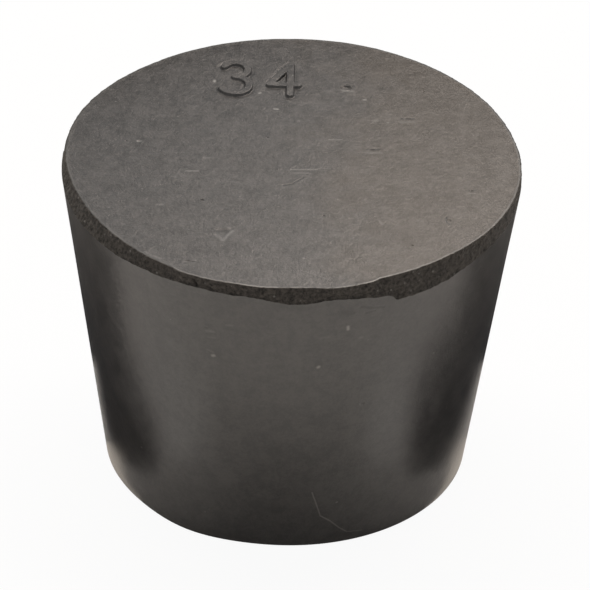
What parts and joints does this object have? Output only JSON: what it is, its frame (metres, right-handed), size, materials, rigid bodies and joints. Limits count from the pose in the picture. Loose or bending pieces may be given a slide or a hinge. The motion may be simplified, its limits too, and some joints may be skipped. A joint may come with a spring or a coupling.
{
  "type": "rubber stopper",
  "caption": "Solid tapered stopper of black rubber with flat ends and a trimmed rim, pushed into the neck of a flask, bottle or tube to seal it.",
  "frame": {"origin": "centre of the small end's flat face, which the stopper stands on", "axes": "+Z along the axis from the small end to the large end; -Y is the side that the moulded number is read from"},
  "size_m": [0.034, 0.034, 0.0254],
  "materials": {
    "stopper": "satin"
  },
  "bodies": {
    "root": {"stopper": "stopper"}
  },
  "joints": []
}
